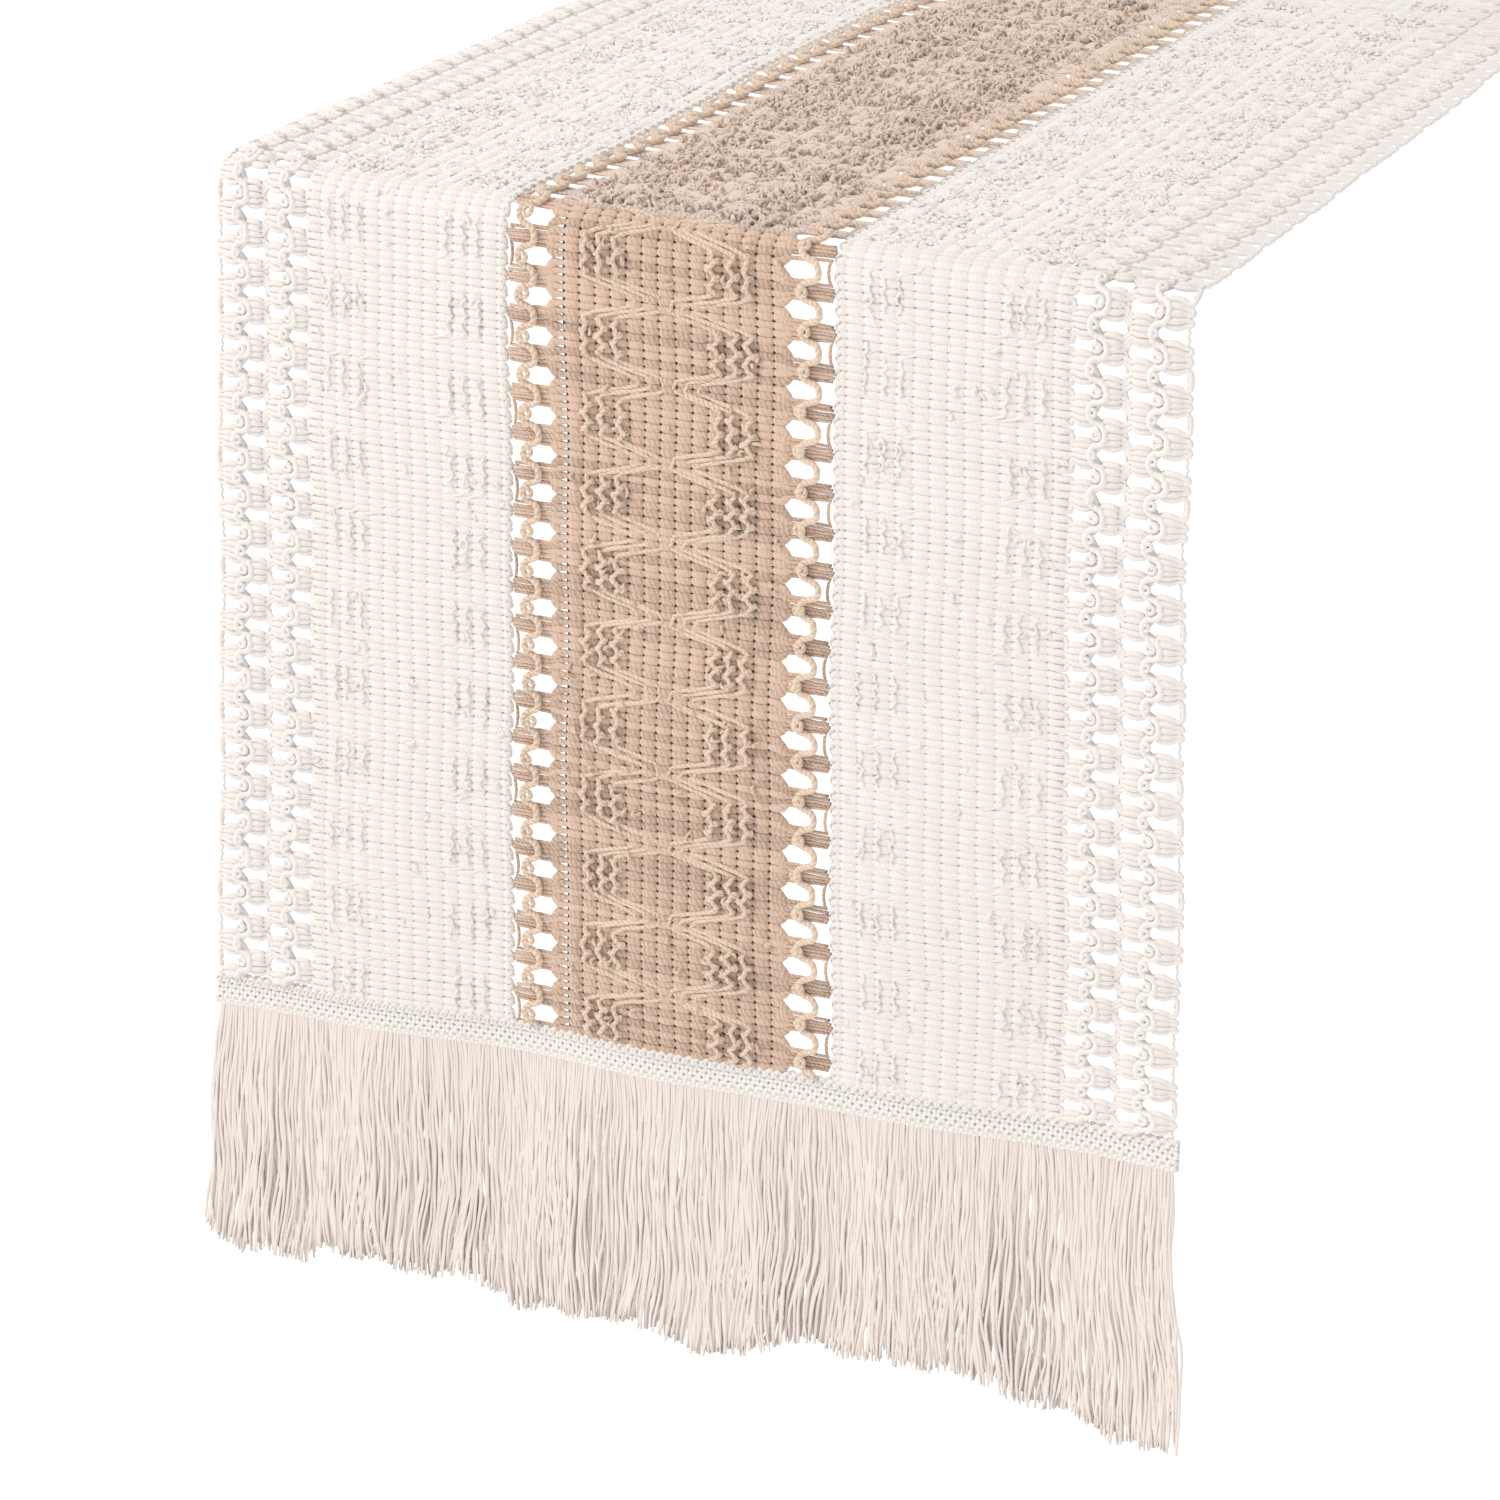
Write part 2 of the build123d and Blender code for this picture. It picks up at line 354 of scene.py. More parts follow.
def cream_wefts(yarns, side, v0, v1, detail):
    """The ground of a cream ribbon and its ladder: one weft that turns back at each edge."""
    rows = int(round((v1 - v0) / WEFT_PITCH))
    natural = v0 + WEFT_PITCH * (np.arange(rows)[:, None] + 0.5)
    ladder = np.concatenate([[0.9], *[c + np.array(detail.column) for c in COLUMNS]])
    dense = wale_samples(33.3, CREAM_WIDTH - 1.4, WALES_CREAM, detail.wale)
    e = np.concatenate([ladder, dense, [CREAM_WIDTH - 1.0]])[None]
    shape = (rows, e.shape[1])
    v = np.broadcast_to(natural, shape).copy()
    w, ra, rb, slip = ground_profile(e, WALES_CREAM, shape, detail, 1.50, 0.24, detail.cream_rise)
    v = v + slip
    for k, centre in enumerate(COLUMNS):
        bulge = np.cos(np.clip((e - centre) / 3.1, -1, 1) * math.pi / 2) ** 0.8
        middle_v, pitch, i, count = bunched(v0, v1, column_rows(side, k, v0, v1))
        height = pitch - 4.9 + 2.5 * bulge
        gap = height / (count + 0.1)
        inside = (np.abs(e - centre) <= 3.1) | ((k == 0) & (e < centre))
        v = np.where(inside, middle_v + i * gap, v)
        round_off = 1 - (2 * i / count) ** 2
        w = np.where(inside, -0.1 + (0.15 + 1.0 * bulge) * round_off, w)
        ra = np.where(inside, 0.58 * gap, ra)
        rb = np.where(inside, 0.66 + 0.25 * bulge, rb)
    bridge = (e > 32.9) & (e < 36.0)
    ra = np.where(bridge, np.minimum(ra, 1.15), ra)
    v = v + rng.normal(0, 0.05, (rows, 1)) + 0.05 * rng.normal(0, 1, shape)
    ra = ra * (1 + rng.normal(0, 0.03, (rows, 1)))
    add_turning_weft(yarns, side, e, v, w, ra, rb, detail)


def add_turning_weft(yarns, side, e, v, w, ra, rb, detail):
    """Joins the rows into one snaking weft; e is measured in from the outer edge."""
    rows, n = v.shape
    e = np.broadcast_to(e, v.shape)
    tone = rng.random(rows)
    turn = np.array([0.25, 0.5, 0.75]) * math.pi
    us, vs, ws, ras, rbs, tones = [], [], [], [], [], []
    for r in range(rows):
        forth = r % 2 == 0
        order = slice(None) if forth else slice(None, None, -1)
        us.append(side * (WIDTH_HALF - e[r][order]))
        for gathered, values in ((vs, v), (ws, w), (ras, ra), (rbs, rb)):
            gathered.append(values[r][order])
        tones.append(np.full(n, tone[r]))
        if r + 1 < rows:
            k = -1 if forth else 0
            a, b = v[r][k], v[r + 1][k]
            out = (1.0 if forth else -0.75) * np.sin(turn)
            us.append(side * (WIDTH_HALF - e[r][k] - out))
            vs.append((a + b) / 2 - (b - a) / 2 * np.cos(turn))
            ws.append(np.zeros(3))
            ras.append(np.full(3, min(ra[r][k], 0.95)))
            rbs.append(np.full(3, min(rb[r][k], 0.7)))
            tones.append(np.full(3, tone[r]))
    path, normal = lay(np.concatenate(us), np.concatenate(vs), np.concatenate(ws))
    ra = np.concatenate(ras) * tapered(len(path))
    yarns.add(path, normal, ra, np.concatenate(rbs), detail.sides, tone=np.concatenate(tones))


def tan_wefts(yarns, v0, v1, detail):
    """The ground of the tan ribbon, bundled past the open column on each side."""
    rows = int(round((v1 - v0) / WEFT_PITCH))
    natural = v0 + WEFT_PITCH * (np.arange(rows)[:, None] + 0.5)
    dense = wale_samples(-34.0, 34.0, WALES_TAN, detail.wale)
    edge = np.array([35.6, 36.8, 38.2, 40.1, 42.0, 43.6, 45.6, 48.0])
    c = np.concatenate([-edge[::-1], dense, edge])[None]
    f = np.abs(c)
    shape = (rows, c.shape[1])
    w, ra, rb, slip = ground_profile(c, WALES_TAN, shape, detail, 1.42, 0.5, 0.54)
    v = natural + slip
    reach = np.zeros(shape)
    for side in (-1, 1):
        middle_v, _, i, _ = bunched(v0, v1, tan_rows(side, v0, v1))
        taken = smooth((f - 35.4) / 2.4)
        gap = 1.32 - 0.22 * smooth((f - 42.2) / 3.4)
        here = (np.sign(c) == side) & (f > 35.3)
        v = np.where(here, v * (1 - taken) + (middle_v + i * gap) * taken, v)
        loose = np.clip(np.abs(i) - 0.5, 0, 1)
        w = np.where(here & (f > 37), 0.15 - 0.06 * i**2, w)
        ra = np.where(here & (f > 37), 0.66 - 0.14 * smooth((f - 43) / 3), ra)
        rb = np.where(here & (f > 37), 0.52, rb)
        # the middle yarns of a bundle reach a little further than the outer ones
        last = 51.3 - 0.5 * np.minimum(loose * 2, 1) - 0.5 * np.maximum(np.abs(i) - 1, 0)
        far = np.clip((f - 43.6) / (48.0 - 43.6), 0, 1) * here
        reach = np.where(here, np.sign(c) * far * (last - 48.0), reach)
    v = v + rng.normal(0, 0.06, (rows, 1)) + 0.06 * rng.normal(0, 1, shape)
    add_turning_weft(yarns, 1, WIDTH_HALF - c - reach, v, w, ra, rb, detail)


def wale_threads(yarns, us, v0, v1, depth):
    """Flat threads behind the wefts along each wale."""
    n = int(round((v1 - v0) / WEFT_PITCH)) + 1
    v = np.linspace(v0 + 0.1, v1 - 0.1, n)[None]
    us = np.asarray(us, float)[:, None]
    path, normal = lay(us + 0 * v, v + 0 * us, depth + 0 * v * us)
    yarns.add(path, normal, WALE_THREAD_WIDTH, WALE_THREAD_THICKNESS, 4, tone=rng.random(len(us)) * 0.3)


def edge_chains(yarns, us, v0, v1):
    """Thin cream chains along the outer edge and down the ladder."""
    n = int(round((v1 - v0) / WEFT_PITCH)) * 3 + 1
    v = np.linspace(v0 + 0.1, v1 - 0.1, n)[None]
    us = np.asarray(us, float)[:, None]
    phase = 2 * math.pi * v / WEFT_PITCH
    path, normal = lay(us + 0.22 * np.sin(phase), v + 0 * us, -0.15 + 0.5 * np.cos(phase) + 0 * us)
    yarns.add(path, normal, 0.42, 0.42, 5, tone=rng.random(len(us)))


def relief_yarns(yarns, centre_u, v0, v1, detail, radius, bold, lift):
    """Three nested yarns on each side of the middle that run up in waves and meet in chevrons."""
    columns, tips = (15.5, 20.5, 25.5), (1.2, 4.9, 9.0)
    n = detail.relief
    diagonal = max(6, int(n * 0.2))
    part_v = np.concatenate([
        np.linspace(0.5, 6.0, diagonal, endpoint=False),
        np.linspace(6.0, 18.0, n - 2 * diagonal, endpoint=False),
        np.linspace(18.0, 23.5, diagonal, endpoint=False),
    ])
    k = np.arange(math.floor((v0 - APEX) / REPEAT) - 1, math.ceil((v1 - APEX) / REPEAT) + 1)
    base = k[:, None] * REPEAT + APEX + part_v[None]
    p = np.broadcast_to(part_v[None], base.shape)
    spread = np.minimum(np.clip((p - 0.5) / 5.5, 0, 1), np.clip((23.5 - p) / 5.5, 0, 1))
    spread = 0.4 * spread + 0.6 * smooth(spread)
    q = np.clip((p - 6.0) / 12.0, 0, 1)
    window = np.sin(np.pi * q) ** 0.3
    waving = (p > 6) & (p < 18)
    for side in (-1, 1):
        for m, (column, tip) in enumerate(zip(columns, tips)):
            jitter = rng.normal(0, 0.4, (len(k), 1))
            turns = 2.3 + rng.normal(0, 0.18, (len(k), 1))
            wave = 2 * math.pi * (turns * q + 0.15 * m + rng.normal(0, 0.07, (len(k), 1)))
            amp = bold * (1.55 + rng.normal(0, 0.3, (len(k), 1)))
            u = tip + (column + jitter - tip) * spread + amp * window * np.sin(wave)
            u = u + 0.25 * rng.normal(0, 1, u.shape)
            v = base + 1.05 * bold * window * np.sin(2 * wave) * waving
            v = v + 0.4 * (2 - m) * np.sign(12 - p) * (1 - spread) + rng.normal(0, 0.35, (len(k), 1))
            # the diagonals lie half sunk in the ground
            w = lift - 0.22 * (1 - spread) + window * waving * (0.75 + 0.45 * np.cos(wave * 2)) * bold
            w = w + 0.16 * rng.normal(0, 1, u.shape)
            u, v, w = u.ravel(), v.ravel(), w.ravel()
            keep = (base.ravel() > v0) & (base.ravel() < v1)
            u, v, w = u[keep], np.clip(v[keep], v0, v1), w[keep]
            path, normal = lay(centre_u + side * u, v, w)
            r = radius * (0.8 + 0.2 * spread.ravel()[keep]) * (1 + 0.07 * np.sin(np.arange(len(u)) * 1.7))
            r = r * tapered(len(u))
            yarns.add(path, normal, r, r, max(5, detail.sides - 1), tone=rng.random())


def curls(yarns, centre_u, half, v0, v1, detail, radius, height):
    """Small loops of slack yarn that stand out of the ground."""
    count = int(detail.curls * 2 * half * (v1 - v0))
    across_u = rng.uniform(-half, half, 3 * count)
    place_v = rng.uniform(v0 + 2.5, v1 - 2.5, 3 * count)
    # most curls gather where the raised yarns wave
    waved = np.exp(-(((np.abs(across_u) - 20.5) / 7.5) ** 4))
    waved = waved * np.exp(-(((np.mod(place_v - APEX, REPEAT) - 12.0) / 7.0) ** 4))
    taken = np.argsort(rng.random(3 * count) - 0.8 * waved, kind="stable")[:count]
    place_u, place_v = centre_u + across_u[taken, None], place_v[taken, None]
    turn = rng.uniform(0, 2 * math.pi, (count, 1))
    half_span = rng.uniform(0.7, 1.7, (count, 1))
    bend = rng.uniform(-1.3, 1.3, (count, 1))
    t = np.linspace(-1, 1, 6)[None]
    along, across = half_span * t, bend * (1 - t**2)
    u = place_u + along * np.cos(turn) - across * np.sin(turn)
    v = np.clip(place_v + along * np.sin(turn) + across * np.cos(turn), v0, v1)
    w = 0.45 + height * rng.uniform(0.4, 1.0, (count, 1)) * (1 - t**2)
    path, normal = lay(u, v, w)
    r = radius * rng.uniform(0.75, 1.15, (count, 1)) * tapered(6, 0.8)
    yarns.add(path, normal, r, r, 5, tone=rng.random(count))


def meander(rows, v0, v1, samples, swing, loop, sharp):
    """A cord that snakes along v, bulging to +u at each of rows."""
    p = np.arange((len(rows) - 1) * samples) / samples
    steps = np.arange(len(rows))
    jitter = np.interp(p, steps, rng.normal(0, 0.1, len(rows)))
    u = swing * (np.cos(2 * math.pi * p) + sharp * np.cos(4 * math.pi * p)) * (1 + jitter)
    along = np.interp(p, steps, rows)
    v = along + loop * np.sin(4 * math.pi * p)
    keep = (along > v0) & (along < v1)
    return u[keep], np.clip(v[keep], v0, v1), p[keep]


def rings(yarns, us, vs, major, minor, height, detail, tone):
    """Small loops of cord that lie on the cloth."""
    n = 12 if detail.sides > 6 else 9
    a = np.arange(n) * 2 * math.pi / n
    path, normal = lay(us[:, None] + major * np.cos(a), vs[:, None] + major * np.sin(a), height)
    yarns.add(path, normal, minor, minor, detail.sides, tone=tone, closed=True)


def cream_cord(yarns, side, e, column, v0, v1, detail):
    """The looped cord that snakes between two columns of the ladder."""
    rows = column_rows(side, column, v0, v1)
    u, v, p = meander(rows, v0, v1, detail.cord, 2.5, 0.55, 0.05)
    w = 1.05 + 0.3 * np.cos(4 * math.pi * p) + rng.normal(0, 0.05, len(u))
    centre = side * (WIDTH_HALF - e)
    path, normal = lay(centre + 0.2 + u, v, w)
    r = 1.02 * tapered(len(u))
    yarns.add(path, normal, r, r, detail.sides, tone=rng.random())
    vs = (rows[1:] + rows[:-1]) / 2
    vs = vs[(vs > v0 + 2.0) & (vs < v1 - 2.0)]
    vs = vs + rng.normal(0, 0.3, len(vs))
    us = centre - 1.3 + rng.normal(0, 0.2, len(vs))
    rings(yarns, us, vs, 1.0, 0.68, 1.45, detail, rng.random(len(vs)))
    vs = rows[(rows > v0 + 2.0) & (rows < v1 - 2.0)]
    us = centre - 0.15 + rng.normal(0, 0.15, len(vs))
    rings(yarns, us, vs + rng.normal(0, 0.3, len(vs)), 1.1, 0.7, 1.3, detail, rng.random(len(vs)))


def tan_cord(yarns, side, v0, v1, detail):
    """The looped cord that snakes along the open column: outwards at each hole, inwards between."""
    rows = tan_rows(side, v0, v1)
    u, v, p = meander(rows, v0, v1, detail.cord, 2.7, 0.5, 0.0)
    w = 1.5 + 0.35 * np.cos(4 * math.pi * p) + rng.normal(0, 0.08, len(u))
    path, normal = lay(side * (TAN_HALF - 7.3 + u), v, w)
    r = 1.0 * tapered(len(u))
    yarns.add(path, normal, r, r, detail.sides, tone=rng.random())
    vs = rows if side < 0 else rows + TAN_PITCH / 2
    vs = vs[(vs > v0 + 2.6) & (vs < v1 - 2.6)]
    place = -(TAN_HALF - 6.3) if side < 0 else TAN_HALF - 9.6
    us = place + rng.normal(0, 0.35, len(vs))
    rings(yarns, us, vs + rng.normal(0, 0.4, len(vs)), 1.3, 0.75, 1.9, detail, rng.random(len(vs)))


def seam_thread(yarns, side, v0, v1):
    """Whip stitches from the cream edge to the tan rungs."""
    n = int(round((v1 - v0) / WEFT_PITCH)) * 4
    p = np.arange(n) / 4.0
    v = v0 + 0.2 + p * (v1 - v0 - 0.4) / (n / 4.0)
    path, normal = lay(side * (CREAM_INNER + 0.1 + 0.9 * np.sin(p * math.pi)), v,
                       0.95 * np.abs(np.cos(p * math.pi)) - 0.1)
    yarns.add(path, normal, 0.3 * tapered(n), 0.3, 5, tone=0.5)


# ---------------------------------------------------------------- header and fringe
def header_tape(yarns, end, sides):
    """Rows of small interlocked loops under a scalloped top edge."""
    base = FOLD + HEM
    half = WIDTH_HALF + 1.0
    samples = 8
    n = int(round(2 * half / 2.8)) * samples + 1
    u = np.linspace(-half, half, n)
    phase = 2 * math.pi * np.arange(n) / samples
    # where each row lies, its swing, its phase and its half width
    rows = ((0.35, 0.5, 0.0, 0.72), (1.6, 0.2, math.pi, 0.74), (3.1, 0.5, 0.0, 0.66),
            (4.7, 0.5, math.pi, 0.66), (6.3, 0.5, 0.0, 0.66), (7.8, 0.35, math.pi, 0.66),
            (8.7, 0.15, 0.0, 0.6))
    for k, (v, swing, shift, r) in enumerate(rows):
        place = base + v + swing * np.cos(phase + shift) + rng.normal(0, 0.05, n)
        path, normal = lay(u, end * place, 0.3 + 0.22 * np.cos(2 * phase + k))
        yarns.add(path, normal, (r + 0.08) * tapered(n), 0.7, sides, tone=rng.random())
        path, normal = lay(u, end * (base + v - swing * np.cos(phase + shift)), -0.4 + 0 * u)
        yarns.add(path, normal, (r + 0.38) * tapered(n), 0.62, 5, tone=rng.random())


def header_stitching(yarns, end):
    """A row of stitches that holds the header to the hem."""
    n = 440
    u = np.linspace(-WIDTH_HALF, WIDTH_HALF, n)
    k = np.arange(n)
    path, normal = lay(u, end * (FOLD + HEM + 0.9 + 1.1 * np.cos(k * math.pi / 2)),
                       1.05 + 0.25 * np.sin(k * math.pi / 2))
    yarns.add(path, normal, 0.3 * tapered(n), 0.3, 5, tone=0.5)


FRINGE_STRANDS = 1050
# how far below the header the longest strands reach, across the runner
FRINGE_PLACES = (-152, -144, -135, -132.5, -130, -124, -117, -105, -85, -68, -51, -35,
                 -19, -3, 13, 29, 45, 60, 75, 90, 105, 120, 134, 152)
FRINGE_REACH = (77, 83.5, 83, 77, 83, 84.5, 79, 77.5, 81, 80, 88, 86.5,
                85, 84, 90.5, 86, 79.6, 81.5, 81, 79, 86, 87.5, 93, 93)


def fringe(yarns, end, count, seed):
    """Cut strands that hang close together from the header in a few loose layers."""
    r = np.random.default_rng(seed)
    top = FOLD + HEM + HEADER - 2.4
    u0 = np.linspace(-WIDTH_HALF + 0.6, WIDTH_HALF - 0.6, count) + r.normal(0, 0.15, count)
    layer = (np.arange(count) % 3 - 1.0) + r.uniform(-0.3, 0.3, count)
    locks = 0.9 * np.sin(u0 / 1.9 + 3 * np.sin(u0 / 11.0)) + 0.7 * np.sin(u0 / 4.3 + 1.0)
    length = np.interp(u0, FRINGE_PLACES, FRINGE_REACH) + 2.4 + locks - 3.6 * r.random(count) ** 2
    n = 19
    s = np.linspace(0, 1, n)[None]
    place = u0[:, None]
    phase = r.uniform(0, 2 * math.pi, (3, count, 1))
    own = r.normal(0, 1.0, (3, count, 1))
    # neighbours in a layer sway together, and the layers cross each other
    angle = u0[:, None] / np.array([2.9, 5.3, 9.7])
    which = np.arange(count) % 3
    shift = r.uniform(0, 2 * math.pi, (3, 3, 3))[:, which]
    lean, bow, roll = (np.sin(angle + shift) * np.array([0.5, 0.9, 1.2])).sum(axis=-1)[..., None]
    u = place + 1.1 * lean * s**1.4 + 1.05 * bow * np.sin(math.pi * s**0.8)
    u = u + 0.5 * own[0] * s**1.2 + 0.45 * own[1] * np.sin(math.pi * s)
    u = u + 1.15 * s**0.7 * np.sin(2 * math.pi * 1.6 * s + 1.2 * roll + phase[0] * 0.25)
    u = u + 0.32 * np.minimum(s * 5, 1) * np.sin(2 * math.pi * (3.3 + own[1] * 0.4) * s + phase[1])
    u = u - (4.6 * np.exp(-(place + WIDTH_HALF) / 16.0) + 0.9 * smooth(-place / 60.0)) * (1 - (1 - s) ** 2.2)
    u = u + 4.0 * np.exp(-(WIDTH_HALF - place) / 18.0) * s**2
    parting = np.exp(-np.abs(place - 6.0) / 1.3) * np.sin(math.pi * np.clip((s - 0.05) / 0.45, 0, 1))
    u = u + np.sign(place - 6.0) * 0.9 * parting
    w = 0.55 * layer[:, None] * (0.7 + 0.7 * s) + 0.5 * roll * s**1.5 + 0.25 * own[2] * s
    w = w + 0.35 * s * np.sin(2 * math.pi * 2.3 * s + phase[2])
    path, normal = lay(u, end * (top + s * length[:, None]), w)
    thick = (0.56 + 0.04 * r.normal(0, 1, count))[:, None] * np.ones((1, n))
    thick[:, -1] *= 0.6
    thick[:, -2] *= 0.9
    yarns.add(path, normal, thick, thick, 5, tone=r.random(count))


# ---------------------------------------------------------------- materials
def yarn_material(name, light, dark, tone_shift, twist=1.6, groove_shade=0.25, fuzz=0.35,
                  bump_height=0.5, sheen=0.3):
    """Spun yarn: plies and fibres along the UV map, painted shade in the hollows of the twist, and tone that
    differs by yarn and place.
    """
    m = bpy.data.materials.new(name)
    m.use_nodes = True
    nt = m.node_tree
    nodes, links = nt.nodes, nt.links
    bsdf = nodes["Principled BSDF"]
    bsdf.inputs["Roughness"].default_value = 0.86
    bsdf.inputs["Specular IOR Level"].default_value = 0.2
    bsdf.inputs["Sheen Weight"].default_value = sheen
    bsdf.inputs["Sheen Roughness"].default_value = 0.45
    bsdf.inputs["Base Color"].default_value = (*light, 1)
    m.diffuse_color = (*light, 1)

    def math_node(op, a, b=None):
        node = nodes.new("ShaderNodeMath")
        node.operation = op
        for i, x in enumerate((a, b)):
            if x is None:
                continue
            if isinstance(x, (int, float)):
                node.inputs[i].default_value = x
            else:
                links.new(x, node.inputs[i])
        return node.outputs[0]

    uv = nodes.new("ShaderNodeUVMap")
    uv.uv_map = "yarn"
    split = nodes.new("ShaderNodeSeparateXYZ")
    links.new(uv.outputs["UV"], split.inputs[0])
    along, around = split.outputs["X"], split.outputs["Y"]
    # plies: the surface has two strands wound round each other
    turns = math_node("MULTIPLY", along, 1000.0 / twist)
    strands = math_node("ADD", turns, math_node("MULTIPLY", around, 2.0))
    wave = math_node("SINE", math_node("MULTIPLY", strands, 2 * math.pi))
    ply = math_node("MULTIPLY", math_node("ADD", wave, 1.0), 0.5)
    # loose fibres and larger patches
    coords = nodes.new("ShaderNodeTexCoord")
    fibres = nodes.new("ShaderNodeTexNoise")
    fibres.inputs["Scale"].default_value = 1500.0
    fibres.inputs["Detail"].default_value = 3.0
    links.new(coords.outputs["Object"], fibres.inputs["Vector"])
    patches = nodes.new("ShaderNodeTexNoise")
    patches.inputs["Scale"].default_value = 45.0
    patches.inputs["Detail"].default_value = 4.0
    links.new(coords.outputs["Object"], patches.inputs["Vector"])
    tone = nodes.new("ShaderNodeAttribute")
    tone.attribute_name = "tone"
    # painted shade: the colour darkens in the hollows between the plies, where the bump sinks too
    level = math_node("MULTIPLY", ply, groove_shade)
    level = math_node("ADD", level, math_node("MULTIPLY", fibres.outputs["Fac"], fuzz))
    level = math_node("ADD", level, math_node("MULTIPLY", tone.outputs["Fac"], tone_shift))
    level = math_node("ADD", level, math_node("MULTIPLY", patches.outputs["Fac"], 0.35))
    ramp = nodes.new("ShaderNodeValToRGB")
    ramp.color_ramp.elements[0].position = 0.2
    ramp.color_ramp.elements[0].color = (*dark, 1)
    ramp.color_ramp.elements[1].position = 0.8
    ramp.color_ramp.elements[1].color = (*light, 1)
    links.new(level, ramp.inputs["Fac"])
    links.new(ramp.outputs["Color"], bsdf.inputs["Base Color"])
    raised_fibres = math_node("MULTIPLY", fibres.outputs["Fac"], 0.7)
    height = math_node("ADD", math_node("MULTIPLY", ply, 0.8), raised_fibres)
    bump = nodes.new("ShaderNodeBump")
    bump.inputs["Strength"].default_value = bump_height
    bump.inputs["Distance"].default_value = 0.00025
    links.new(height, bump.inputs["Height"])
    links.new(bump.outputs["Normal"], bsdf.inputs["Normal"])
    return m


CREAM = yarn_material("cream_cotton", (0.85, 0.80, 0.76), (0.785, 0.73, 0.69), 0.12, bump_height=0.2)
# the cream for the top of the runner, painted lighter than on the hanging ends: painted light
CREAM_TOP_PAINTED_LIGHT = yarn_material("cream_top_painted_light", (0.89, 0.85, 0.82), (0.81, 0.765, 0.735), 0.12,
                          bump_height=0.2)
CREAM_CORD = yarn_material("cream_cord_cotton", (0.87, 0.83, 0.79), (0.79, 0.745, 0.705), 0.12, twist=1.9,
                           bump_height=0.35)
CREAM_DEEP = yarn_material("cream_wale_cotton", (0.86, 0.82, 0.775), (0.78, 0.73, 0.68), 0.1)
TAN = yarn_material("tan_cotton", (0.69, 0.495, 0.375), (0.22, 0.145, 0.10), 0.3, groove_shade=0.2, fuzz=0.6,
                    bump_height=0.6, sheen=0.9)
# the tan for the top of the runner: lighter and greyer colour as painted sheen, near-black darks as painted
# shade
TAN_TOP_PAINTED_SHEEN_AND_SHADE = yarn_material("tan_top_painted_sheen_and_shade", (0.80, 0.645, 0.54), (0.06, 0.04, 0.03), 0.55, groove_shade=0.2,
                        fuzz=0.6, bump_height=0.6, sheen=0.9)
TAN_RELIEF = yarn_material("tan_relief_cotton", (0.80, 0.63, 0.49), (0.42, 0.30, 0.21), 0.16, twist=1.7,
                           fuzz=0.5, groove_shade=0.35, sheen=0.9)
# near-black brown threads behind the tan wefts, seen through the gaps at each wale: painted shade
TAN_WALE_PAINTED_SHADE = yarn_material("tan_wale_painted_shade", (0.18, 0.11, 0.065), (0.09, 0.05, 0.028), 0.1)
SEAM = yarn_material("seam_cotton", (0.86, 0.82, 0.77), (0.72, 0.66, 0.60), 0.1)
HEADER_WHITE = yarn_material("header_cotton", (0.88, 0.845, 0.81), (0.81, 0.775, 0.735), 0.12,
                             bump_height=0.25)
FRINGE = yarn_material("fringe_cotton", (0.88, 0.79, 0.73), (0.82, 0.73, 0.665), 0.2, twist=2.2, groove_shade=0.1,
                       bump_height=0.15, sheen=1.0)


# ---------------------------------------------------------------- pieces
BODY = {"front_end": "front_drop", "near_field": "field", "mid_field": "field", "back_field": "field",
        "back_end": "back_drop"}


def fit_to_body(obj, zone):
    """Field pieces ride on the field; those of a hanging end stay unattached, as laid round the fold."""
    if BODY[zone] == "field":
        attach(obj, "field")
        return
    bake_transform(obj)


def stands_for(zone, part, has_fold):
    """The CAD nodes that this piece stands for."""
    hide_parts(f"{BODY[zone]}_{part}")
    if has_fold and BODY[zone] != "field":
        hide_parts(f"{zone.split('_')[0]}_fold_{part}")


# each cream cord's side, its place in from the outer edge, and the ladder column whose holes it passes
CREAM_CORDS = (
    ("left_outer_cord", -1, OUTER_CORD, 0),
    ("left_inner_cord", -1, INNER_CORD, 2),
    ("right_inner_cord", 1, INNER_CORD, 3),
    ("right_outer_cord", 1, OUTER_CORD, 1),
)

